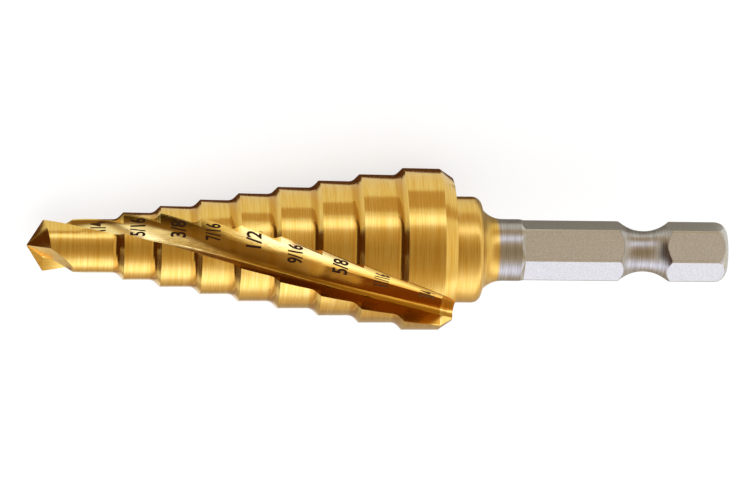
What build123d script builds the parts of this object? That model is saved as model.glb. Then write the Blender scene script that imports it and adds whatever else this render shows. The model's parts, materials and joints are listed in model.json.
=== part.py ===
from build123d import *

import os
from math import atan, cos, degrees, log, radians, sin, sqrt, tan

# A nine-step drill with two spiral flutes, ground from one bar of high-speed steel.
# It is drawn along +X with the point's apex at the origin, and then laid down on +Z-up ground.
# Lip 1 points along +Y at its outer corner, and the hexagon has a flat square to it.

# ---- Driving dimensions, in millimetres and degrees --------------------------------------

INCH = 25.4

# Stepped body: one entry in step_lengths for each step, front corner to next front corner.
smallest_diameter = INCH / 4
diameter_increment = INCH / 16
step_lengths = [9.4, 4.3, 4.7, 4.5, 4.6, 4.8, 4.8, 5.1, 4.3]
ramp_angle = 45
ramp_fillet = 1.05
back_taper = 0.04
rear_chamfer_length = 1.5
rear_chamfer_depth = 1.05

# Point.
point_angle = 118
lip_relief = 11
chisel_offset = 0.06
gash_line_angle = 38
gash_opening = 126

# Flutes.
flute_count = 2
helix_angle = 16
opening_at_apex = 54
opening_at_last_step = 40
root_radius_at_apex = 1.0
root_radius_at_last_step = 7.1
floor_hollow = 0.055
root_fillet_share = 0.28
flute_overrun = 0.95
section_turn = 24

# Collar and neck behind the steps.
collar_diameter = 12.5
collar_length = 3.5
collar_edge_radius = 1.1
collar_overlap = 1.0
neck_diameter = 7.3
neck_blend_radius = 3.0
neck_blend_length = 2.5

# Hexagonal quick-change shank.
overall_length = INCH * 3.25
hex_length = 24.1
hex_across_flats = INCH / 4
hex_corner_diameter = 7.14
runout_angle = 45
groove_centre_to_rear = 9.8
groove_bottom_diameter = 4.76
groove_radius = 4.45
end_rounding_length = 1.3
end_rounding_depth = 0.95
end_rounding_radius = 1.6

# ---- Sizes that follow from them ----------------------------------------------------------

smallest_radius = smallest_diameter / 2
radius_increment = diameter_increment / 2
step_count = len(step_lengths)
step_radii = [smallest_radius + i * radius_increment for i in range(step_count)]

lip_depth = smallest_radius / tan(radians(point_angle / 2))
step_fronts = [lip_depth + sum(step_lengths[:i]) for i in range(step_count)]
land_end = lip_depth + sum(step_lengths)
body_end = land_end + rear_chamfer_length
collar_end = body_end + collar_length
largest_radius = step_radii[-1]
grinding_reach = 2 * smallest_diameter

neck_radius = neck_diameter / 2
bar_radius = hex_corner_diameter / 2
hex_start = overall_length - hex_length
runout_rise = neck_radius - hex_across_flats / 2
neck_end = hex_start - runout_rise / tan(radians(runout_angle))

# The cone that the front corners of the second and the last step lie on.
envelope_taper = (step_radii[-1] - step_radii[1]) / (step_fronts[-1] - step_fronts[1])


def envelope_radius(x):
    return step_radii[1] + envelope_taper * (x - step_fronts[1])


def edge_angle(x):
    """Angle of cutting edge 1 about the axis: a spiral of constant slope on the envelope cone."""
    turn = tan(radians(helix_angle)) / envelope_taper
    return degrees(turn * log(envelope_radius(x) / envelope_radius(lip_depth)))


def along_body(x, at_apex, at_last_step):
    """A value that changes evenly from the apex to the front of the last step."""
    return at_apex + (at_last_step - at_apex) * x / step_fronts[-1]


# ---- Turned forms -------------------------------------------------------------------------

def turned(edges):
    """A solid of revolution about X from an outline in the XY plane, closed along the axis."""
    outline = list(edges)
    outline.append(Line(outline[-1] @ 1, outline[0] @ 0))
    return revolve(make_face(outline), axis=Axis.X)


def stepped_outline():
    """The steps from the apex plane to the rear face, each behind a filleted 45-degree ramp."""
    tangent_length = ramp_fillet * tan(radians(ramp_angle / 2))
    edges = [Line((0, 0), (0, smallest_radius))]
    for front, radius in zip(step_fronts[1:], step_radii[1:]):
        foot_radius = radius - radius_increment - back_taper
        foot = front - (radius - foot_radius) / tan(radians(ramp_angle))
        edges.append(Line(edges[-1] @ 1, (foot - tangent_length, foot_radius)))
        edges.append(JernArc(edges[-1] @ 1, (1, 0), ramp_fillet, ramp_angle))
        edges.append(Line(edges[-1] @ 1, (front, radius)))
    edges.append(Line(edges[-1] @ 1, (land_end, largest_radius - back_taper)))
    edges.append(Line(edges[-1] @ 1, (body_end, largest_radius - rear_chamfer_depth)))
    edges.append(Line(edges[-1] @ 1, (body_end, 0)))
    return edges


def collar_and_neck_outline():
    """Collar with a rounded rear edge, then a hollow blend into the round neck."""
    collar_radius = collar_diameter / 2
    blend_rise = neck_blend_radius - sqrt(neck_blend_radius ** 2 - neck_blend_length ** 2)
    blend_end = collar_end + neck_blend_length
    seat = body_end - collar_overlap
    edges = [Line((seat, 0), (seat, collar_radius))]
    edges.append(Line(edges[-1] @ 1, (collar_end - collar_edge_radius, collar_radius)))
    edges.append(JernArc(edges[-1] @ 1, (1, 0), collar_edge_radius, -90))
    edges.append(Line(edges[-1] @ 1, (collar_end, neck_radius + blend_rise)))
    edges.append(RadiusArc(edges[-1] @ 1, (blend_end, neck_radius), -neck_blend_radius))
    edges.append(Line(edges[-1] @ 1, (neck_end, neck_radius)))
    edges.append(Line(edges[-1] @ 1, (neck_end, 0)))
    return edges


# ---- Hexagonal shank ----------------------------------------------------------------------

def hexagon(x, across_flats):
    """A hexagon square to the axis at x, with one flat facing +Y."""
    plane = Plane(origin=(x, 0, 0), x_dir=(0, 0, 1), z_dir=(1, 0, 0))
    return plane * RegularPolygon(across_flats / 2, 6, major_radius=False)


def hexagonal_shank():
    """Six flats on a round bar, running out at a slope into the neck."""
    runout_start = hex_start - runout_rise / tan(radians(runout_angle))
    wide_hexagon = hexagon(runout_start, hex_across_flats + 2 * runout_rise)
    flats = loft([wide_hexagon, hexagon(hex_start, hex_across_flats)])
    flats += extrude(hexagon(hex_start, hex_across_flats), overall_length - hex_start)
    return flats & turned(shank_outline(runout_start))


def shank_outline(start):
    """The turned outline of the shank: bar, quick-change groove and rounded rear end."""
    groove_centre = overall_length - groove_centre_to_rear
    groove_depth = bar_radius - groove_bottom_diameter / 2
    groove_half = sqrt(2 * groove_radius * groove_depth - groove_depth ** 2)
    rounding_start = (overall_length - end_rounding_length, bar_radius)
    rounding_end = (overall_length, bar_radius - end_rounding_depth)
    edges = [Line((start, 0), (start, neck_radius))]
    edges.append(Line(edges[-1] @ 1, (hex_start, bar_radius)))
    edges.append(Line(edges[-1] @ 1, (groove_centre - groove_half, bar_radius)))
    groove_end = (groove_centre + groove_half, bar_radius)
    edges.append(ThreePointArc(edges[-1] @ 1, (groove_centre, groove_bottom_diameter / 2), groove_end))
    edges.append(Line(edges[-1] @ 1, rounding_start))
    edges.append(RadiusArc(edges[-1] @ 1, rounding_end, end_rounding_radius))
    edges.append(Line(edges[-1] @ 1, (overall_length, 0)))
    return edges


# ---- Flutes -------------------------------------------------------------------------------

def flute_section(x):
    """The flute's outline square to the axis: a radial rake wall, a root and a hollow floor."""
    outer = envelope_radius(x)
    root_radius = along_body(x, root_radius_at_apex, root_radius_at_last_step)
    opening = radians(along_body(x, opening_at_apex, opening_at_last_step))
    overshoot = smallest_radius + outer / 4
    root = (root_radius, 0)
    heel = (outer * cos(opening), outer * sin(opening))
    floor = SagittaArc(root, heel, floor_hollow * outer)
    land_exit = Line(floor @ 1, floor @ 1 + (floor % 1) * overshoot)
    rake_top = (outer + overshoot, 0)
    section = make_face([Line(rake_top, root), floor, land_exit, Line(land_exit @ 1, rake_top)])
    corner = section.vertices().sort_by_distance(root)[0]
    section = fillet(corner, root_fillet_share * (outer - root_radius))
    angle = radians(edge_angle(x))
    plane = Plane(origin=(x, 0, 0), x_dir=(0, cos(angle), sin(angle)), z_dir=(-1, 0, 0))
    return plane * section


def flute():
    """One flute, lofted through sections whose edge angles step evenly from end to end."""
    first = -flute_overrun
    last = body_end + flute_overrun
    span = edge_angle(last) - edge_angle(first)
    count = round(span / section_turn)
    ratio = (envelope_radius(last) / envelope_radius(first)) ** (1 / count)
    radii = [envelope_radius(first) * ratio ** i for i in range(count + 1)]
    stations = [first + (radius - radii[0]) / envelope_taper for radius in radii]
    return loft([flute_section(x) for x in stations])


# ---- Point --------------------------------------------------------------------------------

def flank_waste():
    """What is ground off behind lip 1: all that lies outside a cone tilted back by the relief."""
    lip_slope = 1 / tan(radians(point_angle / 2))
    relief = radians(lip_relief)
    cone_slope = lip_slope * cos(relief) / sqrt(1 + (lip_slope * sin(relief)) ** 2)
    cone_radius = 2 * grinding_reach
    cone = Cone(cone_radius, 0, cone_radius * cone_slope, align=(Align.CENTER, Align.CENTER, Align.MAX))
    back_slope = radians(90 - lip_relief) - atan(cone_slope)
    centre = (-chisel_offset * cos(back_slope), 0, -chisel_offset * sin(back_slope))
    flank = Pos(centre) * Rot(0, lip_relief, 0) * Rot(0, -90, 0) * cone
    block = Box(grinding_reach, grinding_reach, smallest_diameter,
                align=(Align.CENTER, Align.CENTER, Align.MIN))
    return block - flank


def gash():
    """The notch ahead of lip 1 that thins the web to a point and cuts the heel across the flute."""
    reach = grinding_reach
    line_angle = radians(gash_line_angle)
    plane = Plane(origin=(0, 0, 0), x_dir=(-sin(line_angle), cos(line_angle), 0),
                  z_dir=(-cos(line_angle), -sin(line_angle), 0))
    far_corner = (reach / tan(radians(gash_opening)), reach)
    notch = plane * make_face(Polyline((0, 0), (reach, 0), (reach, reach), far_corner, close=True))
    return extrude(notch, reach, both=True)


# ---- The whole drill ----------------------------------------------------------------------

def around(cutter):
    """The same cutter at every flute."""
    return [Rot(360 * i / flute_count, 0, 0) * cutter for i in range(flute_count)]


def step_drill():
    body = turned(stepped_outline())
    for cutter in (flute(), flank_waste(), gash()):
        body = body - around(cutter)
    body += turned(collar_and_neck_outline())
    body += hexagonal_shank()
    return body


# ---- Lying down ---------------------------------------------------------------------------

def corner_point(step, flute_index, angle_ahead=0):
    """A corner of a step's front edge at a flute: the cutting corner, or one turned ahead of it."""
    angle = radians(edge_angle(step_fronts[step]) - angle_ahead + 360 * flute_index / flute_count)
    return Vector(step_fronts[step], step_radii[step] * cos(angle), step_radii[step] * sin(angle))


def resting_plane():
    """The ground under the drill: it lies across the wide end of the second flute.

    Two cutting corners touch on one side of the flute, and the last step's heel on the other.
    """
    cutting_corner = corner_point(-3, 1)
    next_cutting_corner = corner_point(-2, 1)
    heel_corner = corner_point(-1, 1, opening_at_last_step)
    normal = (next_cutting_corner - cutting_corner).cross(heel_corner - cutting_corner).normalized()
    if normal.dot(cutting_corner) > 0:
        normal = -normal
    along = Vector(1, 0, 0) - normal * normal.X
    return Plane(origin=cutting_corner, x_dir=along, z_dir=normal)


def laid_down(part):
    """The part on the ground, with the origin under the middle of its bounding box."""
    lying = resting_plane().to_local_coords(part)
    box = lying.bounding_box()
    return Pos(-box.center().X, -box.center().Y, -box.min.Z) * lying


drill = laid_down(step_drill())
os.makedirs("parts", exist_ok=True)
export_step(drill, "parts/step_drill.step")
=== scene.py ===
import json
from math import cos, log, pi, radians, sin

import bmesh
import bpy
from mathutils import Matrix, Vector
from mathutils.bvhtree import BVHTree


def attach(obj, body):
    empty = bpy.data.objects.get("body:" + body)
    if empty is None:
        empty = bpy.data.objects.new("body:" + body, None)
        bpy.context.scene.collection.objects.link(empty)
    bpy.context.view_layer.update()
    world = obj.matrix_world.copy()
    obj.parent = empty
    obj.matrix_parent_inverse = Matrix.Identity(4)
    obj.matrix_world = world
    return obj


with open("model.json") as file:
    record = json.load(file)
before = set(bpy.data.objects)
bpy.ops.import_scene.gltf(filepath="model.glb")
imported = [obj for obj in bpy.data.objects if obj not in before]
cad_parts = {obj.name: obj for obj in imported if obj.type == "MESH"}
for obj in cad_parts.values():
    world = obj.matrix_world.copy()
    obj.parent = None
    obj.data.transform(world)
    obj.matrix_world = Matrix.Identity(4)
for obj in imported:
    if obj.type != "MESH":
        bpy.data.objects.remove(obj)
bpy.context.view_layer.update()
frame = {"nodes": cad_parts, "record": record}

MM = 0.001
FULL_TURN = 360.0
EULER = 2.718281828

drill = frame["nodes"]["step_drill"]

# ---- How the drill lies --------------------------------------------------------------------
# It is drawn along its own axis from the point's apex; these place that axis in the row frame.

OVERALL_LENGTH = 82.55 * MM
SPIN = radians(21.913)             # from the row's Y to the drill's own, round its axis

shank_end = next(m for m in frame["record"]["mounts"] if m["name"] == "shank_end")
AXIS = Vector(shank_end["axis"]).normalized()
APEX = Vector(shank_end["pos_m"]) - AXIS * OVERALL_LENGTH
SIDE = Vector((0, 1, 0))
RISE = AXIS.cross(SIDE)
TOOL_Y = cos(SPIN) * SIDE - sin(SPIN) * RISE
TOOL_Z = sin(SPIN) * SIDE + cos(SPIN) * RISE

# The drill's own sizes, in millimetres, with places along it measured from the apex.
STEP_FRONTS = [1.91, 11.31, 15.61, 20.31, 24.81, 29.41, 34.21, 39.01, 44.11]
SMALLEST_RADIUS = 3.175
RADIUS_INCREMENT = 0.79375
LARGEST_RADIUS = 9.525
LAND_END = 48.41
BODY_END = 49.91
COATING_END = 55.3
NECK_END = 58.0
GROOVE_CENTRE = 72.75
GROOVE_RADIUS = 4.45
GROOVE_BOTTOM = 2.38               # radius at the bottom of the groove
GROOVE_HALF_WIDTH = 3.1

# The flutes wind up a cone from the second step's front. Angles round the drill are in
# degrees with the winding taken out, and the wall is the one at the cutting edge.
CONE_START = STEP_FRONTS[1]
CONE_START_RADIUS = SMALLEST_RADIUS + RADIUS_INCREMENT
CONE_TAPER = (LARGEST_RADIUS - CONE_START_RADIUS) / (STEP_FRONTS[-1] - CONE_START)
CONE_LEAST_RADIUS = 1.0
HELIX_SLOPE = 0.286745
FLUTE_WALL = 96.0
FLUTE_SPACING = 180.0
OPENING_AT_APEX = 54.0
OPENING_AT_LAST_STEP = 40.0

# ---- Camera --------------------------------------------------------------------------------

CAMERA_AROUND = radians(41.0)      # round the axis from straight up, towards +Y
CAMERA_SWING = radians(5.3)        # towards the shank end
CAMERA_ROLL = radians(0.58)
CAMERA_DISTANCE = 0.650
CAMERA_LENS = 265.2
NEAREST_SEEN = 0.05
FURTHEST_SEEN = 50
AIM_ALONG = 40.94 * MM
AIM_DROP = 0.16 * MM

toward = cos(CAMERA_AROUND) * RISE + sin(CAMERA_AROUND) * SIDE
over = -sin(CAMERA_AROUND) * RISE + cos(CAMERA_AROUND) * SIDE


def make_camera():
    right = cos(CAMERA_SWING) * AXIS + sin(CAMERA_SWING) * toward
    ahead = sin(CAMERA_SWING) * AXIS - cos(CAMERA_SWING) * toward
    rolled_right = cos(CAMERA_ROLL) * right + sin(CAMERA_ROLL) * over
    rolled_up = -sin(CAMERA_ROLL) * right + cos(CAMERA_ROLL) * over
    aim = APEX + AXIS * AIM_ALONG - rolled_up * AIM_DROP
    place = aim - ahead * CAMERA_DISTANCE
    data = bpy.data.cameras.new("camera")
    data.lens = CAMERA_LENS
    data.clip_start = NEAREST_SEEN
    data.clip_end = FURTHEST_SEEN
    camera = bpy.data.objects.new("camera", data)
    turn = Matrix((rolled_right, rolled_up, -ahead)).transposed().to_4x4()
    camera.matrix_world = Matrix.Translation(place) @ turn
    bpy.context.scene.collection.objects.link(camera)
    bpy.context.scene.camera = camera


make_camera()

# ---- Node helpers --------------------------------------------------------------------------

MIX_FACTOR, MIX_A, MIX_B, MIXED_COLOUR = 0, 6, 7, 2    # sockets of a Mix node set to colour


class Nodes:
    """Builds a material's node tree, so that a formula reads as one."""

    def __init__(self, name):
        self.material = bpy.data.materials.new(name)
        self.material.use_nodes = True
        self.tree = self.material.node_tree
        self.tree.nodes.clear()

    def add(self, kind, settings=None, **inputs):
        """Adds a node; an input's name has _ for each space."""
        node = self.tree.nodes.new(kind)
        for key, value in (settings or {}).items():
            setattr(node, key, value)
        for key, value in inputs.items():
            self.put(node, key.replace("_", " "), value)
        return node

    def put(self, node, key, value):
        socket = node.inputs[key]
        if isinstance(value, bpy.types.NodeSocket):
            self.tree.links.new(value, socket)
        else:
            socket.default_value = value

    def surface(self, shader):
        """Finishes the material with a shader, and returns it."""
        out = self.add("ShaderNodeOutputMaterial")
        self.tree.links.new(shader.outputs[0], out.inputs["Surface"])
        return self.material

    def math(self, operation, *values):
        node = self.add("ShaderNodeMath", {"operation": operation})
        for i, value in enumerate(values):
            self.put(node, i, value)
        return node.outputs[0]

    def times(self, first, *others):
        for other in others:
            first = self.math("MULTIPLY", first, other)
        return first

    def minus(self, a, b):
        return self.math("SUBTRACT", a, b)

    def plus_times(self, base, value, factor):
        """The base, plus the value times the factor."""
        return self.math("MULTIPLY_ADD", value, factor, base)

    def vectors(self, operation, a, b):
        node = self.add("ShaderNodeVectorMath", {"operation": operation})
        self.put(node, 0, a)
        self.put(node, 1, b)
        return node

    def dot(self, a, b):
        return self.vectors("DOT_PRODUCT", a, tuple(b)).outputs["Value"]

    def from_apex(self):
        """Where a point is from the drill's apex, in metres."""
        place = self.add("ShaderNodeTexCoord").outputs["Object"]
        return self.vectors("SUBTRACT", place, tuple(APEX)).outputs["Vector"]

    def combine(self, x, y, z):
        return self.add("ShaderNodeCombineXYZ", X=x, Y=y, Z=z).outputs[0]

    def step(self, value, start, end, to=(0.0, 1.0)):
        """Smoothly from to[0] at start to to[1] at end."""
        node = self.add("ShaderNodeMapRange", {"interpolation_type": "SMOOTHSTEP", "clamp": True})
        for i, v in enumerate((value, start, end, *to)):
            self.put(node, i, v)
        return node.outputs[0]

    def noise(self, vector, scale, detail, roughness):
        node = self.add("ShaderNodeTexNoise", Vector=vector, Scale=scale, Detail=detail,
                        Roughness=roughness)
        return node.outputs["Fac"]

    def mix(self, factor, a, b):
        node = self.add("ShaderNodeMix", {"data_type": "RGBA", "blend_type": "MIX"})
        self.put(node, MIX_FACTOR, factor)
        self.put(node, MIX_A, a)
        self.put(node, MIX_B, b)
        return node.outputs[MIXED_COLOUR]

    def grey(self, colour):
        return self.add("ShaderNodeRGBToBW", Color=colour).outputs[0]

    def ramp(self, value, stops):
        node = self.add("ShaderNodeValToRGB", Fac=value)
        elements = node.color_ramp.elements
        while len(elements) < len(stops):
            elements.new(0.5)
        for element, (place, colour) in zip(elements, sorted(stops)):
            element.position = place
            element.color = (*colour, 1)
        return node.outputs["Color"]


# ---- Floor, tent, cards and world ----------------------------------------------------------

WHITE = (1, 1, 1, 1)
FLOOR_REACH = 6.0
FLOOR_PAPER = (0.35, 0.35, 0.35, 1)
FLOOR_GLOW = 0.72                  # added for the camera and for mirrors only
MIRRORED_FLOOR = (0.88, 0.98, 1.12, 1)

# The tent's brightness by angle round the drill, from the camera's direction (0) over the
# top, in degrees: negative towards -Y, positive towards +Y. 1 is white.
TENT = [(-131, 0.58), (-118, 0.70), (-106, 1.0), (-98, 1.5), (-88, 1.85), (-75, 1.7), (-64, 1.35),
        (-54, 0.95), (-47, 0.72), (-39, 0.56), (-31, 0.47), (-18, 0.41), (0, 0.38), (11, 0.45),
        (18, 0.50), (26, 0.60), (31, 0.80), (35, 1.45), (40, 1.75), (45, 1.60), (50, 1.30)]
TENT_FROM = -131.0
TENT_TO = 49.0
TENT_FACES = 60
TENT_RADIUS = 0.45
TENT_START = -0.5                  # along X in metres, as the places ahead of the point are
TENT_END = 0.7
TENT_STRENGTH = 2.0                # its colours are written as a share of this
TENT_EVEN_LEVEL = 0.9              # untinted, and fully tinted this much above or below it:
TENT_TINT_SPAN = 0.4
COOL_TINT = (0.0, 0.12, 0.60)
WARM_TINT = (0.18, -0.06, -0.42)

# On the camera's side the tent is an even grey ahead of the point, and dark further on.
EVEN_AHEAD = (-0.15, -0.21)
EVEN_AHEAD_RIM = (radians(62), radians(52))
EVEN_AHEAD_COLOUR = (0.50, 0.50, 0.50, 1)
DARK_AHEAD = (-0.28, -0.36)
DARK_AHEAD_RIM = (radians(58), radians(38))
DARK_AHEAD_LOSS = -1.9

DARK_LEVEL = 0.10
DARK_BROWN = (1, 0.4, 0.15)        # so that what mirrors the dark looks brown, not black
CARD_LIFT = 0.1 * MM

# Cards on the floor: name, level, colour, and corners as (x, y) in millimetres.
CARDS = [
    ("dark_ahead", DARK_LEVEL, DARK_BROWN, [(-600, -12), (-46.2, -12), (-46.2, 350), (-600, 350)]),
    # Painted shadow: the two sheets under the drill and its shank stand in, in reflections, for the
    # drill's shadow on the floor.
    ("painted_shadow_below", DARK_LEVEL, DARK_BROWN,
     [(-46, -2), (14, -4), (14, 6), (10, 6), (8.5, 8.8), (-35, 2.6), (-46, 2.4)]),
    ("painted_shadow_by_shank", 0.30, (1, 0.95, 0.9), [(14, -4), (44, -4), (44, 8), (14, 8)]),
    ("grey_behind", 0.50, (1, 0.9, 0.75), [(-60, -400), (60, -400), (60, -25), (-60, -25)]),
    ("grey_before", 0.62, (1, 0.8, 0.55), [(-46, 20), (90, 20), (90, 80), (-46, 80)]),
]


def glowing(name, strength, colour):
    n = Nodes(name)
    return n.surface(n.add("ShaderNodeEmission", Color=(*colour, 1), Strength=strength))


def staged(name, corners, material, faces=None):
    """A sheet that isn't part of the object: one face, or those that are listed."""
    mesh = bpy.data.meshes.new(name)
    mesh.from_pydata([tuple(c) for c in corners], [], faces or [tuple(range(len(corners)))])
    mesh.materials.append(material)
    obj = bpy.data.objects.new(name, mesh)
    bpy.context.scene.collection.objects.link(obj)
    return obj


def reflected_only(obj):
    """The object shows in reflections and nowhere else."""
    obj.visible_camera = False
    obj.visible_diffuse = False
    obj.visible_shadow = False
    obj.visible_transmission = False


def floor():
    n = Nodes("floor")
    path = n.add("ShaderNodeLightPath")
    seen = n.math("MAXIMUM", path.outputs["Is Camera Ray"], path.outputs["Is Glossy Ray"])
    paper = n.add("ShaderNodeBsdfDiffuse", Color=FLOOR_PAPER)
    tint = n.mix(path.outputs["Is Glossy Ray"], WHITE, MIRRORED_FLOOR)
    glow = n.add("ShaderNodeEmission", Color=tint, Strength=n.times(seen, FLOOR_GLOW))
    both = n.add("ShaderNodeAddShader")
    n.put(both, 0, paper.outputs[0])
    n.put(both, 1, glow.outputs[0])
    reach = FLOOR_REACH
    staged("floor", [(-reach, -reach, 0), (reach, -reach, 0), (reach, reach, 0), (-reach, reach, 0)],
           n.surface(both))


def tent_colour(level):
    """A level as a share of the strength, warmer where it is dim and cooler where bright."""
    warmth = min(max((TENT_EVEN_LEVEL - level) / TENT_TINT_SPAN, -1), 1)
    tint = COOL_TINT if warmth < 0 else WARM_TINT
    return [level / TENT_STRENGTH * (1 + t * abs(warmth)) for t in tint]


def tent_light():
    n = Nodes("tent")
    place = n.add("ShaderNodeTexCoord").outputs["Object"]
    angle = n.math("ARCTAN2", n.dot(place, over), n.dot(place, toward))
    stops = [(a / FULL_TURN + 0.5, tent_colour(level)) for a, level in TENT]
    level = n.ramp(n.math("ADD", n.math("DIVIDE", angle, 2 * pi), 0.5), stops)
    along = n.add("ShaderNodeSeparateXYZ", Vector=place).outputs["X"]
    off_middle = n.math("ABSOLUTE", angle)
    even = n.times(n.step(along, *EVEN_AHEAD), n.step(off_middle, *EVEN_AHEAD_RIM))
    level = n.mix(even, level, EVEN_AHEAD_COLOUR)
    dark = n.times(n.step(along, *DARK_AHEAD), n.step(off_middle, *DARK_AHEAD_RIM))
    strength = n.plus_times(TENT_STRENGTH, dark, DARK_AHEAD_LOSS)
    return n.surface(n.add("ShaderNodeEmission", Color=level, Strength=strength))


def tent():
    """A tunnel of soft light along the drill, open to the camera and closed by a dark end."""
    span = TENT_TO - TENT_FROM
    angles = [radians(TENT_FROM + span * i / TENT_FACES) for i in range(TENT_FACES + 1)]
    rim = [(cos(a) * toward + sin(a) * over) * TENT_RADIUS for a in angles]
    ends = [Vector((x, 0, 0)) for x in (TENT_START, TENT_END)]
    faces = [(2 * i, 2 * i + 1, 2 * i + 3, 2 * i + 2) for i in range(TENT_FACES)]
    reflected_only(staged("tent", [p + end for p in rim for end in ends], tent_light(), faces))
    reflected_only(staged("dark_end", [p + ends[0] for p in rim],
                          glowing("dark_end", DARK_LEVEL, DARK_BROWN)))


def cards():
    """Dark past the point, painted shadow under the drill's near side and under the shank, and grey
    along its front.
    """
    for name, level, colour, corners in CARDS:
        corners = [(x * MM, y * MM, CARD_LIFT) for x, y in corners]
        reflected_only(staged(name, corners, glowing(name, level, colour)))


def surroundings():
    world = bpy.data.worlds.new("studio")
    world.use_nodes = True
    background = world.node_tree.nodes["Background"]
    background.inputs["Color"].default_value = WHITE
    background.inputs["Strength"].default_value = 1.0
    bpy.context.scene.world = world
    bpy.context.scene.view_settings.view_transform = "Standard"


floor()
tent()
cards()
surroundings()

# ---- Metal ---------------------------------------------------------------------------------
# Lengths are in millimetres. A pair is where a smooth change starts and where it ends: along
# the drill, across a flute (0 at the cutting edge's wall, 1 at the heel) or in a noise.

GOLD = (0.80, 0.475, 0.085, 1)
PALE_GOLD = (0.90, 0.63, 0.20, 1)
DEEP_GOLD = (0.68, 0.335, 0.03, 1)
# Colours of painted light: highlight and shade painted in the flutes, and shade painted at the foot
# of each ramp.
PAINTED_HIGHLIGHT_GOLD = (0.98, 0.74, 0.28, 1)
PAINTED_SHADE_GOLD = (0.52, 0.21, 0.012, 1)
DEEP_PAINTED_SHADE_GOLD = (0.18, 0.06, 0.002, 1)
AMBER_GOLD = (0.62, 0.30, 0.03, 1)
STEEL = (0.62, 0.56, 0.44, 1)
DARK_STEEL = (0.50, 0.45, 0.36, 1)
TURNED_STEEL = (0.36, 0.30, 0.235, 1)

# Painted shade: the coating's colour is darkened at the foot of each ramp, which ends at the next
# step's front.
FRONT_SLACK = 0.05
CORNER_BEHIND = 0.85
CORNER_FADE = (0.62, 0.20)
PAINTED_CORNER_SHADE = 0.62

# What counts as inside a flute, by its depth under the land.
FLUTE_DEPTH = (0.10, 0.22)
LAND_END_SLACK = 0.02

# Grinding marks: how fast they change along the grinding, and each noise's scale, detail
# and roughness.
FLUTE_STRETCH = 0.012
LAND_STRETCH = 0.02
FLUTE_FINE = (9.0, 3.0, 0.6)
FLUTE_BROAD = (2.2, 2.0, 0.5)
LAND_FINE = (11.0, 3.0, 0.65)
LAND_BROAD = (1.6, 2.0, 0.5)
STEEL_GRAIN = (6.0, 4.0, 0.6)

FINE_MARKS = (0.35, 0.65)
EVENNESS = 0.55
BROAD_MARKS = (0.45, 0.7)
BROAD_STRENGTH = 0.35

# The flute's floor falls away a little beside the heel, towards the wide end.
CROWN_ACROSS = 0.60
CROWN_ALONG = (30.0, 44.0)
CROWN_HEIGHT = (0.0, -3.0)

# Painted shade: a dark band runs along the flute, from past the heel near the point to its middle,
# beside a painted highlight at the heel and at the wall.
BAND_WANDER = 0.16
BAND_ALONG = (11.0, 27.0)
BAND_ACROSS = (1.10, 0.42)
HEEL_SIDE = (0.14, 0.32)
EDGE_SIDE = (-0.22, -0.46)
AT_THE_WALL = (0.0, 0.10)
WALL_SHARE = (0.35, 1.0)
PALE_COMES = (22.0, 28.0)
PALE_GOES = (43.0, 33.0)
PALE_ACROSS = (0.66, 0.88)
PAINTED_SHADE_EASES = (30.0, 42.0)
CREAM_TO_AMBER = (16.0, 26.0)
STREAK_MARKS = (0.46, 0.62)
STREAK_ACROSS = (0.95, 0.60)
STREAK_STRENGTH = (0.15, 0.55)
STREAK_ALONG = (12.0, 24.0)
STREAK_SHARE = (0.30, 1.0)
FLUTE_PAINTED_LIGHT_STARTS = (4.4, 5.4)
FLUTE_PAINTED_LIGHT = 0.92

GROOVE_SLACK = 0.07
TURNED_MARKS = (0.4, 0.6)
COATING_FADE = 0.55
COATING_RAGGED = 0.5

POLISH = 0.13
MARK_ROUGHNESS = 0.12
COLLAR_ROUGHNESS = 0.14
STEEL_ROUGHNESS = 0.32
MARK_DEPTH = 0.02 * MM
MARK_BUMP = 0.25
BRUSHING = 0.5


def land_and_corners(n, along):
    """The land's radius at each step, and how near the foot of a ramp is."""
    land = SMALLEST_RADIUS
    corner = 0.0
    for front in STEP_FRONTS[1:]:
        past_front = n.math("GREATER_THAN", along, front - FRONT_SLACK)
        land = n.plus_times(land, past_front, RADIUS_INCREMENT)
        off_corner = n.math("ABSOLUTE", n.minus(along, front - CORNER_BEHIND))
        corner = n.math("MAXIMUM", corner, n.step(off_corner, *CORNER_FADE))
    return land, corner


def unwound(n, along, y, z):
    """The drill's y and z with the helix's turn at that place taken out."""
    cone = n.plus_times(CONE_START_RADIUS, n.minus(along, CONE_START), CONE_TAPER)
    cone = n.math("MAXIMUM", cone, CONE_LEAST_RADIUS)
    turn = n.times(n.math("LOGARITHM", cone, EULER), HELIX_SLOPE / CONE_TAPER)
    c = n.math("COSINE", turn)
    s = n.math("SINE", turn)
    unwound_y = n.math("ADD", n.times(y, c), n.times(z, s))
    unwound_z = n.minus(n.times(z, c), n.times(y, s))
    return unwound_y, unwound_z


def across_flute(n, along, y, z):
    """From 0 at the cutting edge's wall to 1 at the heel."""
    angle = n.math("FLOORED_MODULO", n.math("DEGREES", n.math("ARCTAN2", z, y)), FLUTE_SPACING)
    narrowing = (OPENING_AT_LAST_STEP - OPENING_AT_APEX) / STEP_FRONTS[-1]
    opening = n.plus_times(OPENING_AT_APEX, along, narrowing)
    return n.math("DIVIDE", n.minus(FLUTE_WALL, angle), opening)


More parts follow.
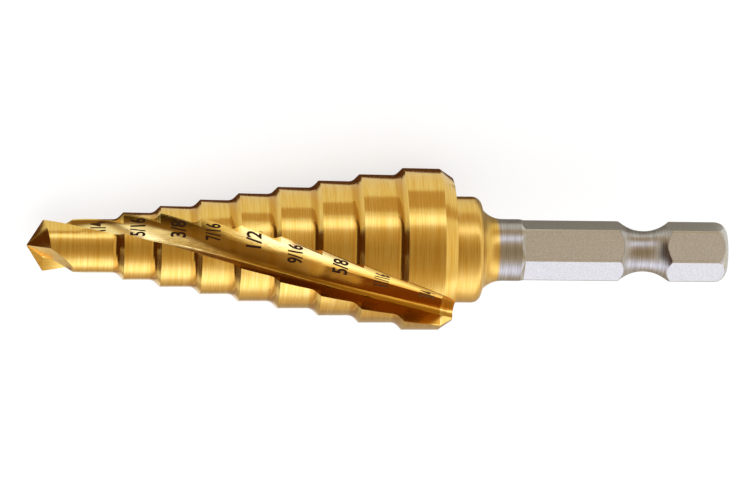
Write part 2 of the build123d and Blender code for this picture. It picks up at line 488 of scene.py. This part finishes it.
def paint_flute_light(n, along, across, fine, broad):
    """Painted light: a painted highlight on the heel side and along the wall, and a band of painted
    shade between them.
    """
    across = n.plus_times(across, n.minus(broad, 0.5), BAND_WANDER)
    off_band = n.minus(across, n.step(along, *BAND_ALONG, BAND_ACROSS))
    heel_side = n.step(off_band, *HEEL_SIDE)
    edge_side = n.times(n.step(off_band, *EDGE_SIDE), n.step(across, *AT_THE_WALL, WALL_SHARE))
    painted_highlight = n.times(n.step(along, *PALE_COMES), n.step(along, *PALE_GOES),
                   n.step(across, *PALE_ACROSS))
    painted_shade = n.mix(n.step(along, *PAINTED_SHADE_EASES), DEEP_PAINTED_SHADE_GOLD, PAINTED_SHADE_GOLD)
    heel_gold = n.mix(painted_highlight, GOLD, PAINTED_HIGHLIGHT_GOLD)
    edge_gold = n.mix(n.step(along, *CREAM_TO_AMBER), PAINTED_HIGHLIGHT_GOLD, AMBER_GOLD)
    colour = n.mix(edge_side, n.mix(heel_side, painted_shade, heel_gold), edge_gold)
    # Grinding streaks, drawn in the painted shade's colour.
    streaks = n.times(n.step(fine, *STREAK_MARKS), n.step(across, *STREAK_ACROSS, STREAK_STRENGTH),
                      n.step(along, *STREAK_ALONG, STREAK_SHARE))
    return n.mix(streaks, colour, painted_shade)


def bare_steel(n, along, radius, fine, grain):
    """The shank's steel, with the neck and the groove turned darker."""
    from_groove = n.minus(along, GROOVE_CENTRE)
    bow = n.minus(GROOVE_RADIUS ** 2, n.times(from_groove, from_groove))
    bow = n.math("SQRT", n.math("MAXIMUM", bow, 0.0))
    off_groove = n.minus(radius, n.minus(GROOVE_BOTTOM + GROOVE_RADIUS, bow))
    in_groove = n.times(
        n.math("LESS_THAN", n.math("ABSOLUTE", off_groove), GROOVE_SLACK),
        n.math("LESS_THAN", n.math("ABSOLUTE", from_groove), GROOVE_HALF_WIDTH))
    turned = n.math("MAXIMUM", in_groove, n.math("LESS_THAN", along, NECK_END))
    ground_colour = n.mix(n.step(grain, *FINE_MARKS), DARK_STEEL, STEEL)
    turned_colour = n.mix(n.step(fine, *TURNED_MARKS), TURNED_STEEL, DARK_STEEL)
    return n.mix(turned, ground_colour, turned_colour)


def metal():
    """Gold coating with grinding marks round the lands and along the flutes, with painted highlight
    and shade in the flutes and painted shade at the ramps' feet, then bare steel.
    """
    n = Nodes("coated_steel_ground")
    scaled = {"operation": "SCALE"}
    place = n.add("ShaderNodeVectorMath", scaled, Vector=n.from_apex(), Scale=1 / MM).outputs[0]
    along = n.dot(place, AXIS)
    y = n.dot(place, TOOL_Y)
    z = n.dot(place, TOOL_Z)
    radius = n.math("SQRT", n.math("ADD", n.times(y, y), n.times(z, z)))

    land, corner = land_and_corners(n, along)
    on_body = n.math("LESS_THAN", along, LAND_END - LAND_END_SLACK)
    in_flute = n.times(n.step(n.minus(land, radius), *FLUTE_DEPTH), on_body)

    unwound_y, unwound_z = unwound(n, along, y, z)
    along_flute = n.combine(n.times(along, FLUTE_STRETCH), unwound_y, unwound_z)
    round_land = n.combine(along, n.times(y, LAND_STRETCH), n.times(z, LAND_STRETCH))
    flute_fine = n.noise(along_flute, *FLUTE_FINE)
    flute_broad = n.noise(along_flute, *FLUTE_BROAD)
    fine = n.grey(n.mix(in_flute, n.noise(round_land, *LAND_FINE), flute_fine))
    broad = n.grey(n.mix(in_flute, n.noise(round_land, *LAND_BROAD), flute_broad))
    grain = n.noise(place, *STEEL_GRAIN)

    gold = n.mix(n.step(fine, *FINE_MARKS), DEEP_GOLD, PALE_GOLD)
    gold = n.mix(EVENNESS, gold, GOLD)
    gold = n.mix(n.times(n.step(broad, *BROAD_MARKS), BROAD_STRENGTH), gold, DEEP_GOLD)
    # Painted shade at the foot of each ramp.
    gold = n.mix(n.times(corner, PAINTED_CORNER_SHADE), gold, PAINTED_SHADE_GOLD)
    across = across_flute(n, along, unwound_y, unwound_z)
    # The flutes' painted highlight and painted shade, from about 5 mm past the apex on.
    painted_flute = paint_flute_light(n, along, across, n.grey(flute_fine), n.grey(flute_broad))
    gold = n.mix(n.times(in_flute, n.step(along, *FLUTE_PAINTED_LIGHT_STARTS), FLUTE_PAINTED_LIGHT), gold, painted_flute)

    bare = n.plus_times(along, grain, COATING_RAGGED)
    bare = n.step(bare, COATING_END, COATING_END + COATING_FADE)
    colour = n.mix(bare, gold, bare_steel(n, along, radius, fine, grain))

    rough = n.plus_times(POLISH, fine, MARK_ROUGHNESS)
    rough = n.plus_times(rough, n.math("GREATER_THAN", along, BODY_END), COLLAR_ROUGHNESS)
    rough = n.plus_times(rough, bare, n.minus(STEEL_ROUGHNESS, rough))

    by_heel = n.math("MAXIMUM", n.minus(across, CROWN_ACROSS), 0.0)
    crown = n.times(by_heel, n.step(along, *CROWN_ALONG, CROWN_HEIGHT), in_flute)
    crowned = n.add("ShaderNodeBump", Strength=1.0, Distance=MM, Height=crown)
    marks = n.plus_times(grain, n.minus(1.0, bare), n.minus(fine, grain))
    bump = n.add("ShaderNodeBump", Strength=MARK_BUMP, Distance=MARK_DEPTH, Height=marks,
                 Normal=crowned.outputs[0])
    return n.surface(n.add("ShaderNodeBsdfPrincipled", Base_Color=colour, Metallic=1.0,
                           Roughness=rough, Anisotropic=BRUSHING, Tangent=tuple(AXIS),
                           Normal=bump.outputs[0]))


metal_finish = metal()
for slot in drill.material_slots:
    slot.material = metal_finish

# ---- Size numbers --------------------------------------------------------------------------
# Each with its place along the axis in millimetres, its angle across the flute in degrees
# with the helix's turn taken out, and the length of its line of digits in millimetres.

NUMBERS = [("1/4", 8.3, 62.0, 1.4), ("5/16", 12.9, 63.5, 2.2), ("3/8", 17.6, 61.0, 2.0),
           ("7/16", 21.6, 58.9, 2.1), ("1/2", 26.3, 58.8, 2.3), ("9/16", 31.1, 64.2, 2.85),
           ("5/8", 36.35, 65.2, 2.8), ("11/16", 41.2, 67.5, 3.0), ("3/4", 46.6, 72.0, 2.1)]
DIGIT_HEIGHT = 1.85
DIGIT_BOLDNESS = 0.022
DIGIT_CURVE_STEPS = 4
INK_HEIGHT = 0.022
LONGEST_EDGE = 0.25
MOST_DIVISIONS = 5
SHORTEST_EDGE = 0.004
OUTSIDE = 15                       # a radius clear of the drill

NUMBER_BROWN = (0.030, 0.010, 0.004, 1)
WORN_BROWN = (0.15, 0.065, 0.013, 1)
INK_GRAIN = (9000.0, 3.0, 0.6)
INK_GRAIN_MARKS = (0.4, 0.7)
INK_GRAIN_WEAR = 0.18
WORN_AT_POINT = (11.0, 10.0)
WEAR_AT_POINT = (0.0, 0.45)
WORN_AT_BACK = (38.0, 48.0)
WEAR_AT_BACK = (0.0, 0.8)
INK_ROUGHNESS = 0.55
INK_GRAIN_ROUGHNESS = 0.2
INK_SHINE = 0.05


def helix_turn(along):
    cone = CONE_START_RADIUS + (along - CONE_START) * CONE_TAPER
    return log(max(cone, CONE_LEAST_RADIUS)) * HELIX_SLOPE / CONE_TAPER


def divide(bm):
    """Splits the long edges, so that the digits can follow the flute's floor."""
    for _ in range(MOST_DIVISIONS):
        bmesh.ops.triangulate(bm, faces=bm.faces[:])
        long_edges = [e for e in bm.edges if e.calc_length() > LONGEST_EDGE * MM]
        if not long_edges:
            break
        bmesh.ops.subdivide_edges(bm, edges=long_edges, cuts=1)
    bmesh.ops.dissolve_degenerate(bm, dist=SHORTEST_EDGE * MM, edges=bm.edges[:])
    bmesh.ops.triangulate(bm, faces=bm.faces[:])


def lay_on(surface, bm, along, around, length):
    """Lays a flat outline on the drill: its x goes round the axis and its y towards the point."""
    spread = radians(around - FLUTE_SPACING) + helix_turn(along)
    radial = cos(spread) * TOOL_Y + sin(spread) * TOOL_Z
    start = APEX + AXIS * along * MM
    centre, normal, _, _ = surface.ray_cast(start + radial * OUTSIDE * MM, -radial)
    across = normal.cross(AXIS).normalized()
    up = normal.cross(across)
    low = [min(v.co[i] for v in bm.verts) for i in (0, 1)]
    high = [max(v.co[i] for v in bm.verts) for i in (0, 1)]
    for v in bm.verts:
        x = ((v.co.x - low[0]) / (high[0] - low[0]) - 0.5) * length * MM
        y = ((v.co.y - low[1]) / (high[1] - low[1]) - 0.5) * DIGIT_HEIGHT * MM
        v.co = centre + across * x + up * y
    divide(bm)
    for v in bm.verts:
        v.co = surface.find_nearest(v.co)[0]
    raised = bmesh.ops.extrude_face_region(bm, geom=bm.faces[:], use_keep_orig=True)["geom"]
    raised = {g for g in raised if isinstance(g, bmesh.types.BMVert)}
    for v in bm.verts:
        place, out_from, _, _ = surface.find_nearest(v.co)
        v.co = place + out_from * (INK_HEIGHT if v in raised else -INK_HEIGHT) * MM
    bmesh.ops.recalc_face_normals(bm, faces=bm.faces[:])


def flat_text(text):
    """The text as a flat mesh."""
    curve = bpy.data.curves.new("digits", "FONT")
    curve.body = text
    curve.offset = DIGIT_BOLDNESS
    curve.resolution_u = DIGIT_CURVE_STEPS
    words = bpy.data.objects.new("digits", curve)
    flat = bpy.data.meshes.new_from_object(words)
    bpy.data.objects.remove(words)
    bpy.data.curves.remove(curve)
    return flat


def ink():
    """A dark brown, worn at the point and towards the wide end."""
    n = Nodes("number_brown")
    place = n.add("ShaderNodeTexCoord").outputs["Object"]
    grain = n.noise(place, *INK_GRAIN)
    along = n.math("DIVIDE", n.dot(n.from_apex(), AXIS), MM)
    worn = n.math("MAXIMUM", n.step(along, *WORN_AT_POINT, WEAR_AT_POINT),
                  n.step(along, *WORN_AT_BACK, WEAR_AT_BACK))
    worn = n.plus_times(worn, n.step(grain, *INK_GRAIN_MARKS), INK_GRAIN_WEAR)
    shader = n.add("ShaderNodeBsdfPrincipled", Base_Color=n.mix(worn, NUMBER_BROWN, WORN_BROWN),
                   Roughness=n.plus_times(INK_ROUGHNESS, grain, INK_GRAIN_ROUGHNESS),
                   Specular_IOR_Level=INK_SHINE)
    return n.surface(shader)


def in_order(bm):
    """Its corners and faces in an order that is the same each run, as bmesh's own isn't."""
    corners = sorted(bm.verts, key=lambda v: tuple(v.co))
    place = {v: i for i, v in enumerate(corners)}
    faces = [[place[v] for v in face.verts] for face in bm.faces]
    faces = [f[f.index(min(f)):] + f[:f.index(min(f))] for f in faces]
    return [tuple(v.co) for v in corners], sorted(faces)


def size_numbers():
    """The hole sizes, marked on one flute."""
    surface = BVHTree.FromObject(drill, bpy.context.evaluated_depsgraph_get())
    whole = bmesh.new()
    for text, along, around, length in NUMBERS:
        flat = flat_text(text)
        bm = bmesh.new()
        bm.from_mesh(flat)
        lay_on(surface, bm, along, around, length)
        bm.to_mesh(flat)
        bm.free()
        whole.from_mesh(flat)
        bpy.data.meshes.remove(flat)
    mesh = bpy.data.meshes.new("size_numbers")
    corners, faces = in_order(whole)
    mesh.from_pydata(corners, [], faces)
    mesh.shade_smooth()
    whole.free()
    mesh.materials.append(ink())
    piece = bpy.data.objects.new("size_numbers", mesh)
    bpy.context.scene.collection.objects.link(piece)
    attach(piece, "root")


size_numbers()
